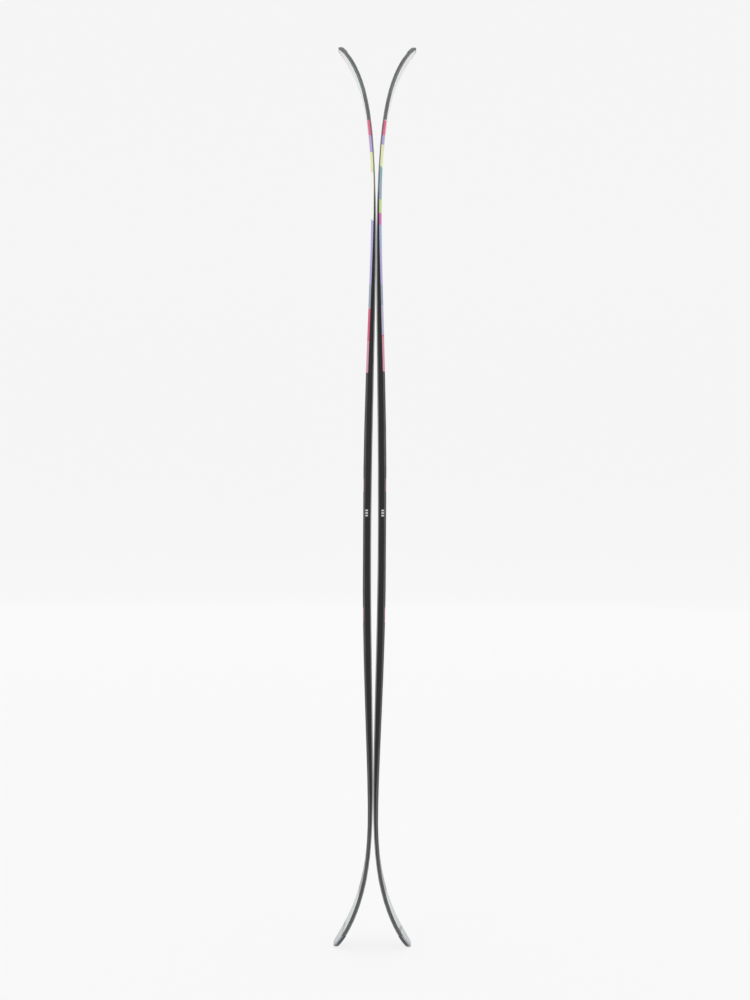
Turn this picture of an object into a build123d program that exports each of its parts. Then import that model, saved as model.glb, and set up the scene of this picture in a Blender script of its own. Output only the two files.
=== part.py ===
"""Pair of wide, steel-edged cross country skis, stood upright base to base.

+Z runs up the skis from the tail ends (z = 0) to the tip ends, X is the thickness
direction and Y the width. The right ski is built at x > 0 with its base facing -X;
the left ski is its mirror image. All lengths are millimetres.
"""
import os
from math import atan, cos, degrees, hypot, pi, sin

from build123d import *

os.makedirs("parts", exist_ok=True)

# Side profile of the base, seen along Y
LENGTH = 1800
GAP = 0.2                      # from the contact plane x = 0 to the base at its lowest points
FRONT_CONTACT = 1400
REAR_CONTACT = 322
CAMBER_PEAK = 812
CAMBER = 6.6
CAMBER_POWER = 1.5
TIP_RISE = 71.5
TIP_EARLY_SHARE = 0.33         # part of the rise that starts gently at the contact point
TIP_POWER = 6.4
TAIL_RISE = 71.5
TAIL_EARLY_SHARE = 0.27
TAIL_POWER = 3.8

# Thickness along the ski
TIP_THICKNESS = 7.3
TAIL_THICKNESS = 7.6
LAND_START, LAND_END = 720, 960        # flat binding zone
LAND_X = 22.9
TAPER_FRONT = 1560             # beyond these heights the ski keeps its end thickness
TAPER_REAR = 180
TAPER_POWER = 1.1

# Plan outline, seen along X
TIP_HALF, WAIST_HALF, TAIL_HALF = 56, 39.5, 48
SHOVEL_Z, WAIST_Z, TAIL_Z = 1655, 850, 120
END_FLAT = 5                   # half width of the short straight cut across each end
TAIL_FULLNESS = (1.2, 1.1)     # how far the end curves carry on straight at their two ends
TIP_FULLNESS = (1.15, 1.05)

# Layers
BASE_THICKNESS = 1.3
EDGE_SIZE = 2.0                # square steel body of the edge
EDGE_FLANGE = 8.0              # how far the flange reaches in from the outline
DAMPER = 0.3
CORE_BOTTOM = EDGE_SIZE + DAMPER
SHEET = 0.8                    # topsheet, and the laminate under it
LAMINATE_INSET = 6.2
PLATE = 0.8
PLATE_HALF_WIDTH = 28
PLATE_START, PLATE_END = 620, 1060
BEVEL_RUN, BEVEL_DROP = 4.0, 3.2
CORE_START, CORE_END = 170, 1640
STRINGER_INNER, STRINGER_OUTER = 9, 17
GROOVE_HALF_WIDTH, GROOVE_DEPTH = 4, 0.6
GROOVE_START, GROOVE_END = 210, 1540

# End guards
TIP_GUARD_Z = LENGTH - 15
TAIL_GUARD_Z = 28
GUARD_RING = 5.6
GUARD_PROUD = 0.6              # below the base
NOSE_FLAT = 0.3                # depth of the flat left on the round ends

# Working sizes
HALF_SPACE = 80                # wider than the ski
MARGIN = 12                    # lines run this far past both ends before they are trimmed
STEP = 75                      # spacing of the points that carry a line along the ski
DEEP = 130                     # further out than any point of the ski
CLEAR = 1                      # cutting shapes reach this far outside what they cut
OUTLINE_SPOTS = (5, 6, 6)      # spots on the tail, side and tip curves of the outline
SETTLE_PASSES = 8              # rounds after which a foot point no longer moves


def base_x(z):
    """Distance of the base from the contact plane."""
    if z > FRONT_CONTACT:
        t = (z - FRONT_CONTACT) / (LENGTH - FRONT_CONTACT)
        early, late = TIP_EARLY_SHARE * t**2, (1 - TIP_EARLY_SHARE) * t**TIP_POWER
        return GAP + TIP_RISE * (early + late)
    if z < REAR_CONTACT:
        t = (REAR_CONTACT - z) / REAR_CONTACT
        early, late = TAIL_EARLY_SHARE * t**2, (1 - TAIL_EARLY_SHARE) * t**TAIL_POWER
        return GAP + TAIL_RISE * (early + late)
    contact = FRONT_CONTACT if z > CAMBER_PEAK else REAR_CONTACT
    return GAP + CAMBER * sin(pi / 2 * (contact - z) / (contact - CAMBER_PEAK)) ** CAMBER_POWER


def thickness(z):
    """Full thickness of the ski at height z."""
    if z > LAND_END:
        land, taper, end = LAND_END, TAPER_FRONT, TIP_THICKNESS
    elif z < LAND_START:
        land, taper, end = LAND_START, TAPER_REAR, TAIL_THICKNESS
    else:
        return LAND_X - base_x(z)
    share = min(max((taper - z) / (taper - land), 0), 1)
    return end + (LAND_X - base_x(land) - end) * sin(pi / 2 * share) ** TAPER_POWER


def lean(z):
    """Angle of the base from upright at height z."""
    return atan(base_x(z + 0.5) - base_x(z - 0.5))


def over_base(z, height):
    """Side-view point at a height above the base, square to it."""
    return base_x(z) + height * cos(lean(z)), z - height * sin(lean(z))


def stations(start, end):
    """Evenly spaced heights from start to end, both included."""
    count = round((end - start) / STEP)
    return [start + (end - start) * i / count for i in range(count + 1)]


def base_line(height):
    """Draw the line that runs at a constant height above the base."""
    points = [over_base(z, height) for z in stations(-MARGIN, LENGTH + MARGIN)]
    Spline(*points)
    return points[0], points[-1]


def top_line(depth):
    """Draw the line that runs at a constant depth below the top, straight in the flat zone."""
    rear = [over_base(z, thickness(z) - depth) for z in stations(-MARGIN, LAND_START)[:-1]]
    front = [over_base(z, thickness(z) - depth) for z in stations(LAND_END, LENGTH + MARGIN)[1:]]
    land_start, land_end = (LAND_X - depth, LAND_START), (LAND_X - depth, LAND_END)
    Spline(*rear, land_start)
    Line(land_start, land_end)
    Spline(land_end, *front)
    return rear[0], front[-1]


def band(lower, upper):
    """Full-width slab between two side-view lines, each given as (function, offset)."""
    with BuildPart() as slab:
        with BuildSketch(Plane.XZ.offset(HALF_SPACE)):
            with BuildLine():
                ends = [draw(offset) for draw, offset in (lower, upper)]
                Line(ends[0][0], ends[1][0])
                Line(ends[0][1], ends[1][1])
            make_face()
        extrude(amount=-2 * HALF_SPACE)
    return slab.part


def outline_spots():
    """Points and directions along the half outline, from the tail corner to the tip corner."""
    tail, waist, shovel = (TAIL_HALF, TAIL_Z), (WAIST_HALF, WAIST_Z), (TIP_HALF, SHOVEL_Z)
    up = (0, 1)
    with BuildLine():
        arcs = (
            Spline((END_FLAT, 0), tail, tangents=((1, 0), up), tangent_scalars=TAIL_FULLNESS),
            Spline(tail, waist, shovel, tangents=(up, up)),
            Spline(shovel, (END_FLAT, LENGTH), tangents=(up, (-1, 0)), tangent_scalars=TIP_FULLNESS),
        )
    spots = []
    for arc, count in zip(arcs, OUTLINE_SPOTS):
        spots += [(arc @ (i / count), arc % (i / count)) for i in range(count)]
    spots.append((arcs[-1] @ 1, arcs[-1] % 1))
    return spots


def prism(inset=0.0):
    """Everything inside the plan outline moved in by inset."""
    side = [spot + inset * Vector(-along.Y, along.X) for spot, along in outline_spots()]
    with BuildPart() as body:
        with BuildSketch(Plane.YZ):
            with BuildLine():
                Line((0, inset), side[0])
                Spline(*side)
                Line(side[-1], (0, LENGTH - inset))
                mirror(about=Plane.YZ)
            make_face()
        extrude(amount=DEEP, clean=False)
    return body.part


def foot_under(z, share=1.0):
    """Height on the base square under the point at height z, a share of the thickness up."""
    foot = z
    for _ in range(SETTLE_PASSES):
        foot = z + share * thickness(foot) * sin(lean(foot))
    return foot


def top_x(z):
    """Distance of the top surface from the contact plane at height z."""
    foot = foot_under(z)
    return over_base(foot, thickness(foot))[0]


def bevel_cutter(depth):
    """Closed wedge that cuts the bevel round the top edge, moved in by depth."""
    pitch = BEVEL_DROP / BEVEL_RUN
    shift = depth * hypot(1, pitch)
    reach = 2 * CLEAR
    wedge = (
        (-reach, -BEVEL_DROP - reach * pitch - shift),
        (BEVEL_RUN + reach, reach * pitch - shift),
        (-reach, BEVEL_DROP + 3 * reach),
    )
    middle = [(Vector(0, end), Vector(way, 0)) for end, way in ((0, 1), (LENGTH, -1))]
    with BuildPart() as half:
        for spot, along in (middle[0], *outline_spots(), middle[1]):
            rise = top_x(spot.Y + 0.5) - top_x(spot.Y - 0.5)
            square_out = Vector(1, 0, -rise)
            path = Vector(rise * along.Y, along.X, along.Y)
            edge_plane = Plane(
                origin=(top_x(spot.Y), spot.X, spot.Y),
                x_dir=square_out.cross(path),
                z_dir=path,
            )
            with BuildSketch(edge_plane):
                with BuildLine():
                    Polyline(*wedge, close=True)
                make_face()
        loft()
    return half.part


def zone(start, end, y_from=-HALF_SPACE, y_to=HALF_SPACE):
    """Block that holds one stretch of the ski."""
    with BuildPart() as block:
        with Locations((DEEP / 2, (y_from + y_to) / 2, (start + end) / 2)):
            Box(DEEP, y_to - y_from, end - start)
    return block.part


def nose(end, way):
    """Everything up to a round end, as seen along Y; way is 1 at the tip and -1 at the tail."""
    radius = thickness(end) / 2 + GUARD_PROUD
    foot = foot_under(end - way * (radius - NOSE_FLAT), share=0.5)
    middle = over_base(foot, thickness(end) / 2)
    with BuildPart() as rounding:
        with BuildSketch(Plane.XZ.offset(HALF_SPACE)):
            with Locations(middle):
                Circle(radius)
                with Locations(Location((0, 0), -degrees(lean(foot)))):
                    with Locations((0, -way * DEEP / 2)):
                        Rectangle(2 * DEEP, DEEP)
        extrude(amount=-2 * HALF_SPACE)
    return rounding.part


def shape(lower, upper, inset=0.0, keep=(), cut=()):
    """Layer between two side-view lines inside the outline, trimmed by other solids."""
    with BuildPart() as layer:
        add(band(lower, upper))
        add(prism(inset), mode=Mode.INTERSECT, clean=False)
        for solid in keep:
            add(solid, mode=Mode.INTERSECT, clean=False)
        for solid in cut:
            add(solid, mode=Mode.SUBTRACT, clean=False)
    return layer.part


def both_sides(cutter):
    """The cutter and its mirror image across the middle of the ski."""
    return [cutter, mirror(cutter, about=Plane.XZ)]


front_half = zone(-MARGIN, LENGTH + MARGIN, y_to=0)
back_half = zone(-MARGIN, LENGTH + MARGIN, y_from=0)
sides = {"front": front_half, "back": back_half}
between_guards = zone(TAIL_GUARD_Z, TIP_GUARD_Z)
outer_bevel = both_sides(bevel_cutter(0))
inner_bevel = both_sides(bevel_cutter(SHEET))

# Rim that the end guards fill; every layer of the ski stops short of it there
guard_rim = shape((base_line, -CLEAR), (top_line, -CLEAR), cut=[prism(GUARD_RING), between_guards])

pieces = {}

# Running base with its shallow guiding groove
groove = shape(
    (base_line, -CLEAR), (base_line, GROOVE_DEPTH),
    keep=[zone(GROOVE_START, GROOVE_END, -GROOVE_HALF_WIDTH, GROOVE_HALF_WIDTH)],
)
pieces["base"] = shape(
    (base_line, 0), (base_line, BASE_THICKNESS), EDGE_SIZE, cut=[guard_rim, groove]
)

# Steel edges: a square body at the outline and a thin flange that runs in over the base
edge_body = shape(
    (base_line, 0), (base_line, EDGE_SIZE), keep=[between_guards], cut=[prism(EDGE_SIZE)]
)
edge_flange = shape(
    (base_line, BASE_THICKNESS), (base_line, EDGE_SIZE), EDGE_SIZE,
    keep=[between_guards], cut=[prism(EDGE_FLANGE)],
)
for side, half_space in sides.items():
    with BuildPart() as steel_edge:
        add(edge_body)
        add(edge_flange)
        add(half_space, mode=Mode.INTERSECT)
    pieces[f"steel_edge_{side}"] = steel_edge.part
    pieces[f"damping_strip_{side}"] = shape(
        (base_line, EDGE_SIZE), (base_line, CORE_BOTTOM),
        keep=[between_guards, half_space], cut=[prism(EDGE_FLANGE)],
    )

# Lower laminate lies between the two flanges
pieces["lower_laminate"] = shape(
    (base_line, BASE_THICKNESS), (base_line, CORE_BOTTOM), EDGE_FLANGE
)

# Binding plate, let into the top of the core
plate_zone = zone(PLATE_START, PLATE_END, -PLATE_HALF_WIDTH, PLATE_HALF_WIDTH)
pieces["binding_plate"] = shape(
    (top_line, 2 * SHEET + PLATE), (top_line, 2 * SHEET), EDGE_FLANGE, keep=[plate_zone]
)

# Laminated wood core: a light centre, two hard stringers and two light outer strips
core_zone = zone(CORE_START, CORE_END)
core_blank = shape(
    (base_line, CORE_BOTTOM), (top_line, 2 * SHEET), EDGE_FLANGE,
    keep=[core_zone], cut=[pieces["binding_plate"]],
)
inside_stringers = zone(CORE_START, CORE_END, -STRINGER_INNER, STRINGER_INNER)
with_stringers = zone(CORE_START, CORE_END, -STRINGER_OUTER, STRINGER_OUTER)
for name, keep, cut in (
    ("core_centre", inside_stringers, None),
    ("core_stringers", with_stringers, inside_stringers),
    ("core_outer", None, with_stringers),
):
    with BuildPart() as strip:
        add(core_blank)
        if keep:
            add(keep, mode=Mode.INTERSECT, clean=False)
        if cut:
            add(cut, mode=Mode.SUBTRACT, clean=False)
    pieces[name] = strip.part

# Upper laminate
pieces["upper_laminate"] = shape((top_line, 2 * SHEET), (top_line, SHEET), LAMINATE_INSET)

# Everything between the damping strips and the topsheet, with the bevel on its top edge
blank = shape((base_line, CORE_BOTTOM), (top_line, SHEET), cut=inner_bevel)

# Sidewalls along the core, solid spacers where the ski is thin
for side, half_space in sides.items():
    with BuildPart() as sidewall:
        add(blank)
        add(core_zone, mode=Mode.INTERSECT, clean=False)
        add(half_space, mode=Mode.INTERSECT, clean=False)
        add(prism(EDGE_FLANGE), mode=Mode.SUBTRACT, clean=False)
        add(pieces["upper_laminate"], mode=Mode.SUBTRACT, clean=False)
    pieces[f"sidewall_{side}"] = sidewall.part
for name, spacer_zone in (
    ("tip_spacer", zone(CORE_END, LENGTH + MARGIN)),
    ("tail_spacer", zone(-MARGIN, CORE_START)),
):
    with BuildPart() as spacer:
        add(blank)
        add(spacer_zone, mode=Mode.INTERSECT, clean=False)
        add(guard_rim, mode=Mode.SUBTRACT, clean=False)
        add(pieces["upper_laminate"], mode=Mode.SUBTRACT, clean=False)
    pieces[name] = spacer.part

# Topsheet: covers the top and folds down over the bevel
pieces["topsheet"] = shape(
    (base_line, CORE_BOTTOM), (top_line, 0), cut=[*outer_bevel, blank, guard_rim]
)

# End guards: a rim round each end, a little proud of the base
inside_guard = shape((base_line, -CLEAR), (top_line, -CLEAR), GUARD_RING)
for name, guard_zone, round_end in (
    ("tip_guard", zone(TIP_GUARD_Z, LENGTH + MARGIN), nose(LENGTH, 1)),
    ("tail_guard", zone(-MARGIN, TAIL_GUARD_Z), nose(0, -1)),
):
    pieces[name] = shape(
        (base_line, -GUARD_PROUD), (top_line, 0),
        keep=[guard_zone, round_end], cut=[*outer_bevel, inside_guard],
    )

for name, piece in pieces.items():
    with BuildPart() as right_piece:
        add(piece)
    with BuildPart() as left_piece:
        add(mirror(piece, about=Plane.YZ))
    for side, placed in (("right", right_piece), ("left", left_piece)):
        placed.part.label = f"{side}_{name}"
        export_step(placed.part, f"parts/{side}_{name}.step")
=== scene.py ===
"""Looks for a pair of skis stood base to base: materials, light, stage and camera."""

from math import atan2, cos, hypot, pi, radians, sin

import bpy
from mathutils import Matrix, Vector

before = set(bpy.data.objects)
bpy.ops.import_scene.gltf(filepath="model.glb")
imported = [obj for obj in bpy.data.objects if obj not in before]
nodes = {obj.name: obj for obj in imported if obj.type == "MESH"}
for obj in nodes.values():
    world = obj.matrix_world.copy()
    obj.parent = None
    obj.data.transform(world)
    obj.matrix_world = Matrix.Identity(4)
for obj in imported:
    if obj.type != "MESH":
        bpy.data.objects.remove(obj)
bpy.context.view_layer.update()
scene = bpy.context.scene

SIDES = {"left": -1, "right": 1}

# Colours, linear
WHITE = (0.74, 0.75, 0.77)
CLOUDS = (                     # faint tints in the white, each with its changes per metre
    ((0.68, 0.62, 0.76), (20, 20, 14)),
    ((0.66, 0.76, 0.64), (25, 20, 11)),
    ((0.80, 0.64, 0.69), (30, 20, 8)),
)
PINK = (0.72, 0.10, 0.22)
HOT_PINK = (0.66, 0.08, 0.18)
LIGHT_PINK = (0.64, 0.26, 0.35)
LAVENDER = (0.42, 0.35, 0.64)
PALE_LAVENDER = (0.42, 0.37, 0.66)
PALE_BLUE = (0.32, 0.40, 0.64)
GREY_LAVENDER = (0.44, 0.41, 0.57)
YELLOW = (0.78, 0.79, 0.44)
CREAM = (0.94, 0.94, 0.87)
TEAL = (0.22, 0.40, 0.45)
BLUE = (0.28, 0.38, 0.49)
BLUE_GREY = (0.28, 0.34, 0.42)
GREEN = (0.52, 0.66, 0.22)
MAGENTA = (0.62, 0.12, 0.45)
BOOT_BLACK = (0.022, 0.022, 0.023)
TIP_RIM = (0.13, 0.155, 0.16)
TIP_RIM_DARK = (0.09, 0.095, 0.10)
GUARD_GREY = (0.10, 0.118, 0.12)
TAIL_RIM = (0.06, 0.066, 0.065)
TAIL_RIM_DARK = (0.035, 0.040, 0.039)
TAIL_GREY = (0.46, 0.50, 0.51)
TAIL_END_GREY = (0.38, 0.40, 0.43)
TEAL_GREY = (0.05, 0.09, 0.10)

# The colour blocks from the tip down: colour, then the height of the lower boundary at the
# ski's left rim and at its right rim. A block that has no height at one rim is a triangle.
BLOCKS = (
    (WHITE, 1.648, 1.651),
    (PINK, 1.619, 1.619),
    (LAVENDER, 1.600, 1.586),
    (YELLOW, 1.555, 1.546),
    (CREAM, 1.554, 1.454),
    (TEAL, 1.525, 1.453),
    (BLUE, 1.492, 1.452),
    (GREEN, 1.466, 1.451),
    (MAGENTA, 1.443, 1.450),
    (PALE_BLUE, 1.395, 1.448),
    (PALE_LAVENDER, 1.325, 1.325),
    (BLUE_GREY, 1.285, 1.280),
    (GREY_LAVENDER, 1.224, 1.279),
    (HOT_PINK, 1.223, 1.214),
    (LIGHT_PINK, 1.154, 1.151),
    (BOOT_BLACK, 0.108, 0.108),
    (TAIL_GREY, 0.046, 0.030),
    (TEAL_GREY, 0.036, 0.030),
    (TAIL_END_GREY, -1.0, -1.0),
)
RIMS = (                       # from height, to height, colour
    (1.649, 1.700, TIP_RIM_DARK),
    (1.700, 2.000, TIP_RIM),
    (0.055, 0.110, TAIL_RIM_DARK),
    (-1.000, 0.055, TAIL_RIM),
)
HALF_WIDTH = 0.050             # where the two boundary heights above are taken
RIM_MARKS = (                  # thin pink lines on the top edge of the rim: heights, inner limit
    (0.915, 0.942, 0.0218),
    (0.655, 0.685, 0.0211),
)
CLOUD_STRENGTH = (-0.4, 0.8)
WEAR_GRAIN, WEAR_STRENGTH = (240, 240, 45), 0.04
RIM_TILT = 0.25                # a face whose normal leans this far sideways belongs to the rim
GUARDS = (("tip", GUARD_GREY, GUARD_GREY), ("tail", TAIL_END_GREY, TAIL_RIM))   # top, rim
FACING = 0.5                   # a face whose normal points at least this far outward is a top face

# Grain, in changes per metre
ALONG = 12                     # along the ski
FINE = 900
NOISE_RANGE = (0.3, 0.7)       # nearly all noise values lie in here

# Surface relief, in metres
FAINT_RELIEF, LIGHT_RELIEF, CLOTH_RELIEF, WOOD_RELIEF = 0.00003, 0.00004, 0.00005, 0.0002

# Boot-centre mark on the sidewalls: three short dashes
MARK_Z, MARK_X = 0.873, 0.0160
MARK_LENGTH, MARK_WIDTH = 0.0155, 0.0052
MARK_DASHES = 3
DASH_SHARE = 0.6               # painted part of each dash's own length
WHOLE_PITCHES = 10             # counting starts this far below the mark, so that it stays positive
MARK_WHITE = (0.55, 0.55, 0.54)


def add_node(tree, kind, inputs=None, **settings):
    """New shader node. Inputs are values, or sockets to link from."""
    made = tree.nodes.new(kind)
    for name, value in settings.items():
        setattr(made, name, value)
    for name, value in (inputs or {}).items():
        if isinstance(value, bpy.types.NodeSocket):
            tree.links.new(value, made.inputs[name])
        else:
            made.inputs[name].default_value = value
    return made


def math_node(tree, operation, first, second=0.0):
    """Socket with the result of one arithmetic step."""
    return add_node(tree, "ShaderNodeMath", {0: first, 1: second}, operation=operation).outputs[0]


def within(tree, value, middle, width):
    """1 where the value is inside a width round the middle, else 0."""
    distance = math_node(tree, "ABSOLUTE", math_node(tree, "SUBTRACT", value, middle))
    return math_node(tree, "LESS_THAN", distance, width / 2)


def mix(tree, factor, first, second):
    """Socket with two colours mixed; each is a colour or a socket."""
    values = [v if isinstance(v, bpy.types.NodeSocket) else (*v, 1.0) for v in (first, second)]
    made = add_node(
        tree, "ShaderNodeMix", {"Factor": factor}, data_type="RGBA", clamp_factor=True
    )
    for name, value in zip(("A_Color", "B_Color"), values):
        socket = next(s for s in made.inputs if s.identifier == name)
        if isinstance(value, bpy.types.NodeSocket):
            tree.links.new(value, socket)
        else:
            socket.default_value = value
    return next(s for s in made.outputs if s.identifier == "Result_Color")


def new_material(name, **shader_values):
    """Material with a Principled shader; the values go straight on its sockets."""
    material = bpy.data.materials.new(name)
    material.use_nodes = True
    tree = material.node_tree
    shader = tree.nodes["Principled BSDF"]
    for socket, value in shader_values.items():
        shader.inputs[socket.replace("_", " ")].default_value = value
    return material, tree, shader


def place(tree, scale):
    """Object coordinates stretched by scale."""
    coordinates = add_node(tree, "ShaderNodeTexCoord").outputs["Object"]
    return add_node(tree, "ShaderNodeMapping", {"Vector": coordinates, "Scale": scale}).outputs[0]


def noise(tree, scale, detail=4.0):
    """Noise value with the given changes per metre along each axis."""
    return add_node(
        tree, "ShaderNodeTexNoise",
        {"Vector": place(tree, scale), "Scale": 1.0, "Detail": detail},
    ).outputs["Fac"]


def spread(tree, value, low, high):
    """Noise value turned into a range of a shader value."""
    return add_node(
        tree, "ShaderNodeMapRange",
        {
            "Value": value,
            "From Min": NOISE_RANGE[0], "From Max": NOISE_RANGE[1],
            "To Min": low, "To Max": high,
        },
    ).outputs["Result"]


def bump(tree, shader, height, distance):
    """Surface relief of a given height in metres."""
    made = add_node(tree, "ShaderNodeBump", {"Height": height, "Distance": distance})
    tree.links.new(made.outputs["Normal"], shader.inputs["Normal"])


def ground_material(name, dark, light, scale, roughness, relief, **values):
    """Two shades and two roughnesses in grain of the given frequencies per metre."""
    material, tree, shader = new_material(name, **values)
    grain = noise(tree, scale)
    colour = mix(tree, spread(tree, grain, 0.0, 1.0), dark, light)
    tree.links.new(colour, shader.inputs["Base Color"])
    tree.links.new(spread(tree, grain, *roughness), shader.inputs["Roughness"])
    bump(tree, shader, grain, relief)
    return material


def topsheet_material(name, turn):
    """Lacquered colour-block sheet; turn is 1 or -1, so that both skis carry the same pattern."""
    material, tree, shader = new_material(name, Coat_Weight=0.35, Coat_Roughness=0.16)
    coordinates = add_node(tree, "ShaderNodeTexCoord").outputs["Object"]
    axes = add_node(tree, "ShaderNodeSeparateXYZ", {"Vector": coordinates}).outputs
    across = math_node(tree, "MULTIPLY", axes["Y"], turn)
    height = axes["Z"]
    colour = BLOCKS[0][0]
    for tint, scale in CLOUDS:
        cloud = noise(tree, scale, detail=2.0)
        colour = mix(tree, spread(tree, cloud, *CLOUD_STRENGTH), colour, tint)
    for (_, left, right), (next_colour, _, _) in zip(BLOCKS, BLOCKS[1:]):
        middle, slope = (left + right) / 2, (right - left) / (2 * HALF_WIDTH)
        tilt = math_node(tree, "MULTIPLY", across, slope)
        boundary = math_node(tree, "ADD", tilt, middle)
        below = math_node(tree, "LESS_THAN", height, boundary)
        colour = mix(tree, below, colour, next_colour)
    normal = add_node(tree, "ShaderNodeNewGeometry").outputs["True Normal"]
    sideways = add_node(tree, "ShaderNodeSeparateXYZ", {"Vector": normal}).outputs["Y"]
    rim = math_node(tree, "GREATER_THAN", math_node(tree, "ABSOLUTE", sideways), RIM_TILT)
    outward = math_node(tree, "ABSOLUTE", axes["X"])
    for low, high, limit in RIM_MARKS:
        inside = within(tree, height, (low + high) / 2, high - low)
        on_line = math_node(tree, "MULTIPLY", math_node(tree, "GREATER_THAN", outward, limit), rim)
        colour = mix(tree, math_node(tree, "MULTIPLY", inside, on_line), colour, LIGHT_PINK)
    for low, high, rim_colour in RIMS:
        inside = within(tree, height, (low + high) / 2, high - low)
        colour = mix(tree, math_node(tree, "MULTIPLY", inside, rim), colour, rim_colour)
    wear = noise(tree, WEAR_GRAIN, detail=6.0)
    worn = math_node(tree, "MULTIPLY", spread(tree, wear, 0.0, 1.0), WEAR_STRENGTH)
    colour = mix(tree, worn, colour, WHITE)
    tree.links.new(colour, shader.inputs["Base Color"])
    speckle = noise(tree, (FINE, FINE, FINE))
    tree.links.new(spread(tree, speckle, 0.30, 0.42), shader.inputs["Roughness"])
    bump(tree, shader, speckle, FAINT_RELIEF)
    return material


def wood_material(name, dark, light):
    """Straight-grained wood with growth lines along the ski."""
    material, tree, shader = new_material(name)
    lines = add_node(
        tree, "ShaderNodeTexWave",
        {"Vector": place(tree, (30, 90, 0.6)), "Scale": 1.0, "Distortion": 5.0, "Detail": 3.0},
    ).outputs["Fac"]
    fibres = noise(tree, (700, 700, 14))
    both = math_node(tree, "MULTIPLY", math_node(tree, "ADD", lines, fibres), 0.5)
    tree.links.new(mix(tree, both, dark, light), shader.inputs["Base Color"])
    tree.links.new(spread(tree, fibres, 0.55, 0.75), shader.inputs["Roughness"])
    bump(tree, shader, both, WOOD_RELIEF)
    return material


def laminate_material(name):
    """Resin-bound glass cloth: a fine square weave in pale green resin."""
    material, tree, shader = new_material(name, Coat_Weight=0.3, Coat_Roughness=0.2)
    weave = add_node(
        tree, "ShaderNodeTexChecker", {"Vector": place(tree, (600, 600, 600)), "Scale": 1.0}
    ).outputs["Fac"]
    cloud = noise(tree, (25, 25, 25))
    shade = math_node(tree, "ADD", math_node(tree, "MULTIPLY", weave, 0.35), cloud)
    colour = mix(tree, shade, (0.25, 0.30, 0.18), (0.62, 0.66, 0.46))
    tree.links.new(colour, shader.inputs["Base Color"])
    tree.links.new(spread(tree, cloud, 0.3, 0.5), shader.inputs["Roughness"])
    bump(tree, shader, weave, CLOTH_RELIEF)
    return material


def guard_material(name, turn, top_colour, rim_colour):
    """Moulded end guard: its top face takes the sheet's colour, the rest the rim's."""
    material, tree, shader = new_material(name)
    normal = add_node(tree, "ShaderNodeNewGeometry").outputs["True Normal"]
    outward = add_node(tree, "ShaderNodeSeparateXYZ", {"Vector": normal}).outputs["X"]
    facing = math_node(tree, "GREATER_THAN", math_node(tree, "MULTIPLY", outward, turn), FACING)
    grain = noise(tree, (500, 500, 500))
    colour = mix(tree, facing, rim_colour, top_colour)
    shade = tuple(0.8 * value for value in rim_colour)
    colour = mix(tree, spread(tree, grain, 0.0, 0.35), colour, shade)
    tree.links.new(colour, shader.inputs["Base Color"])
    tree.links.new(spread(tree, grain, 0.35, 0.5), shader.inputs["Roughness"])
    bump(tree, shader, grain, LIGHT_RELIEF)
    return material


def add_boot_mark(material):
    """Paint the boot-centre dashes over a sidewall material."""
    tree = material.node_tree
    shader = tree.nodes["Principled BSDF"]
    coordinates = add_node(tree, "ShaderNodeTexCoord").outputs["Object"]
    axes = add_node(tree, "ShaderNodeSeparateXYZ", {"Vector": coordinates}).outputs
    pitch = MARK_LENGTH / MARK_DASHES
    start = MARK_Z + pitch / 2 - WHOLE_PITCHES * pitch
    steps = math_node(tree, "DIVIDE", math_node(tree, "SUBTRACT", axes["Z"], start), pitch)
    dash = within(tree, math_node(tree, "FRACT", steps), 0.5, DASH_SHARE)
    painted = math_node(tree, "MULTIPLY", dash, within(tree, axes["Z"], MARK_Z, MARK_LENGTH))
    thickness = math_node(tree, "ABSOLUTE", axes["X"])
    painted = math_node(tree, "MULTIPLY", painted, within(tree, thickness, MARK_X, MARK_WIDTH))
    ground = shader.inputs["Base Color"].links[0].from_socket
    tree.links.new(mix(tree, painted, ground, MARK_WHITE), shader.inputs["Base Color"])


steel = ground_material(
    "edge_steel", (0.19, 0.19, 0.19), (0.32, 0.32, 0.32), (FINE, FINE, ALONG), (0.28, 0.42),
    FAINT_RELIEF,
    Metallic=1.0,
)
base = ground_material(
    "base_polyethylene", (0.012, 0.012, 0.013), (0.035, 0.035, 0.037), (40, 1600, 5), (0.32, 0.5),
    FAINT_RELIEF,
)
sidewall = ground_material(
    "sidewall_black", (0.006, 0.006, 0.0065), (0.015, 0.015, 0.0155), (FINE, FINE, ALONG), (0.42, 0.6),
    LIGHT_RELIEF, Specular_IOR_Level=0.3,
)
add_boot_mark(sidewall)
spacer = ground_material(
    "spacer_black", (0.05, 0.056, 0.056), (0.08, 0.09, 0.09), (500, 500, 30), (0.35, 0.5),
    FAINT_RELIEF,
)
rubber = ground_material(
    "damping_rubber", (0.012, 0.012, 0.012), (0.03, 0.03, 0.03), (400, 400, 400), (0.7, 0.9),
    CLOTH_RELIEF,
)
plate = ground_material(
    "binding_plate_aluminium", (0.5, 0.5, 0.52), (0.68, 0.68, 0.7), (FINE, FINE, ALONG), (0.3, 0.45),
    FAINT_RELIEF, Metallic=1.0,
)
laminate = laminate_material("glass_laminate")
light_wood = wood_material("light_wood", (0.42, 0.28, 0.14), (0.70, 0.53, 0.31))
hard_wood = wood_material("hard_wood", (0.16, 0.075, 0.03), (0.34, 0.18, 0.08))

FINISHES = {
    "base": base,
    "steel_edge_front": steel,
    "steel_edge_back": steel,
    "damping_strip_front": rubber,
    "damping_strip_back": rubber,
    "lower_laminate": laminate,
    "upper_laminate": laminate,
    "binding_plate": plate,
    "core_centre": light_wood,
    "core_outer": light_wood,
    "core_stringers": hard_wood,
    "sidewall_front": sidewall,
    "sidewall_back": sidewall,
    "tip_spacer": spacer,
    "tail_spacer": spacer,
}


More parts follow.
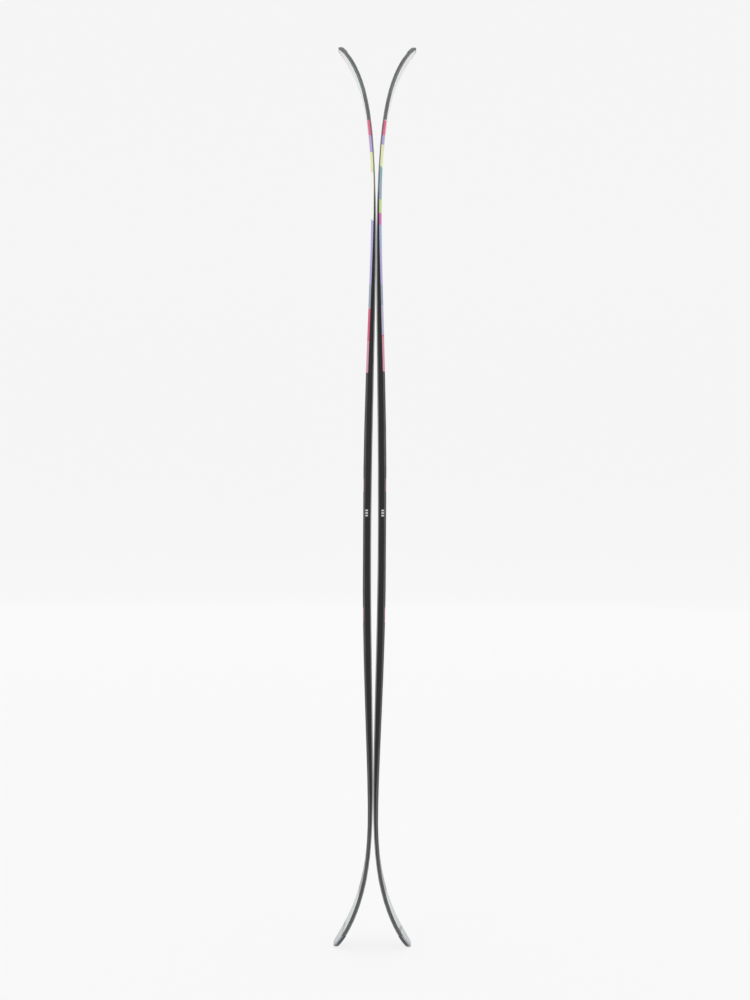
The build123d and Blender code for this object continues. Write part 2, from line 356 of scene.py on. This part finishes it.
def finish_node(name, material):
    """Give one CAD node its material."""
    mesh = nodes[name].data
    mesh.materials.clear()
    mesh.materials.append(material)


for side, turn in SIDES.items():
    for part, material in FINISHES.items():
        finish_node(f"{side}_{part}", material)
    finish_node(f"{side}_topsheet", topsheet_material(f"topsheet_{side}", turn))
    for end, top_colour, rim_colour in GUARDS:
        guard = guard_material(f"{end}_guard_{side}", turn, top_colour, rim_colour)
        finish_node(f"{side}_{end}_guard", guard)

# Stage: a pale round floor that curves up into a wall on every side
FLOOR_RADIUS, BEND_RADIUS, WALL_TOP = 9.0, 2.5, 8.0
FLOOR_Z = -0.0006
BEND_STEPS, TURN_STEPS = 24, 96


def stage_profile():
    """(radius, z) line from the middle of the floor, round the bend and up the wall."""
    line = [(0.0, FLOOR_Z)]
    for step in range(BEND_STEPS + 1):
        angle = pi / 2 * step / BEND_STEPS
        line.append((FLOOR_RADIUS + BEND_RADIUS * sin(angle), FLOOR_Z + BEND_RADIUS * (1 - cos(angle))))
    line.append((FLOOR_RADIUS + BEND_RADIUS, WALL_TOP))
    return line


def turned(line):
    """Vertices and faces of a line turned round the z axis; its first point is on the axis."""
    (_, middle_z), *rings = line
    vertices = [(0.0, 0.0, middle_z)]
    for radius, z in rings:
        for step in range(TURN_STEPS):
            angle = 2 * pi * step / TURN_STEPS
            vertices.append((radius * cos(angle), radius * sin(angle), z))
    faces = []
    for step in range(TURN_STEPS):
        after = (step + 1) % TURN_STEPS
        faces.append((0, 1 + step, 1 + after))
        for ring in range(len(rings) - 1):
            inner, outer = 1 + ring * TURN_STEPS, 1 + (ring + 1) * TURN_STEPS
            faces.append((inner + step, outer + step, outer + after, inner + after))
    return vertices, faces


vertices, faces = turned(stage_profile())
stage_mesh = bpy.data.meshes.new("stage")
stage_mesh.from_pydata(vertices, [], faces)
stage_mesh.shade_smooth()
stage = bpy.data.objects.new("stage", stage_mesh)
scene.collection.objects.link(stage)
stage_material, _, _ = new_material(
    "stage_pale", Base_Color=(0.08, 0.08, 0.08, 1), Roughness=0.9,
    Emission_Color=(1, 1, 1, 1), Emission_Strength=0.835,
)
stage_mesh.materials.append(stage_material)

# Light: a bright even room and three large soft panels
world = bpy.data.worlds.new("studio")
scene.world = world
world.use_nodes = True
background = world.node_tree.nodes["Background"]
background.inputs["Color"].default_value = (1, 1, 1, 1)
background.inputs["Strength"].default_value = 0.62


def panel(name, location, target, width, height, power):
    """Soft rectangular light that faces the target."""
    data = bpy.data.lights.new(name, "AREA")
    data.shape = "RECTANGLE"
    data.size, data.size_y = width, height
    data.energy = power
    lamp = bpy.data.objects.new(name, data)
    lamp.location = location
    lamp.rotation_euler = (Vector(target) - Vector(location)).to_track_quat("-Z", "Y").to_euler()
    scene.collection.objects.link(lamp)


panel("key", (-2.2, -3.0, 2.6), (0, 0, 0.9), 1.6, 2.4, 14)
panel("fill", (2.4, -3.0, 1.6), (0, 0, 0.9), 1.6, 2.4, 9)
panel("top", (0, 0, 4.2), (0, 0, 0), 3.0, 3.0, 24)

# Camera: level with the middle of the skis, looking at their edges
DISTANCE = 4.0
FRAME_HEIGHT = 2.007           # metres that the picture's height covers at the skis
EYE_Z = 0.985
AIM_Z = 0.898
ROLL = radians(-0.33)
SENSOR = 36
camera_data = bpy.data.cameras.new("camera")
camera = bpy.data.objects.new("camera", camera_data)
scene.collection.objects.link(camera)
camera_data.sensor_width = SENSOR
camera_data.lens = SENSOR * hypot(DISTANCE, EYE_Z - AIM_Z) / FRAME_HEIGHT
camera.location = (0, -DISTANCE, EYE_Z)
pitch = atan2(EYE_Z - AIM_Z, DISTANCE)
camera.rotation_mode = "XYZ"
camera.rotation_euler = (radians(90) - pitch, ROLL, 0)
scene.camera = camera
scene.view_settings.view_transform = "Standard"
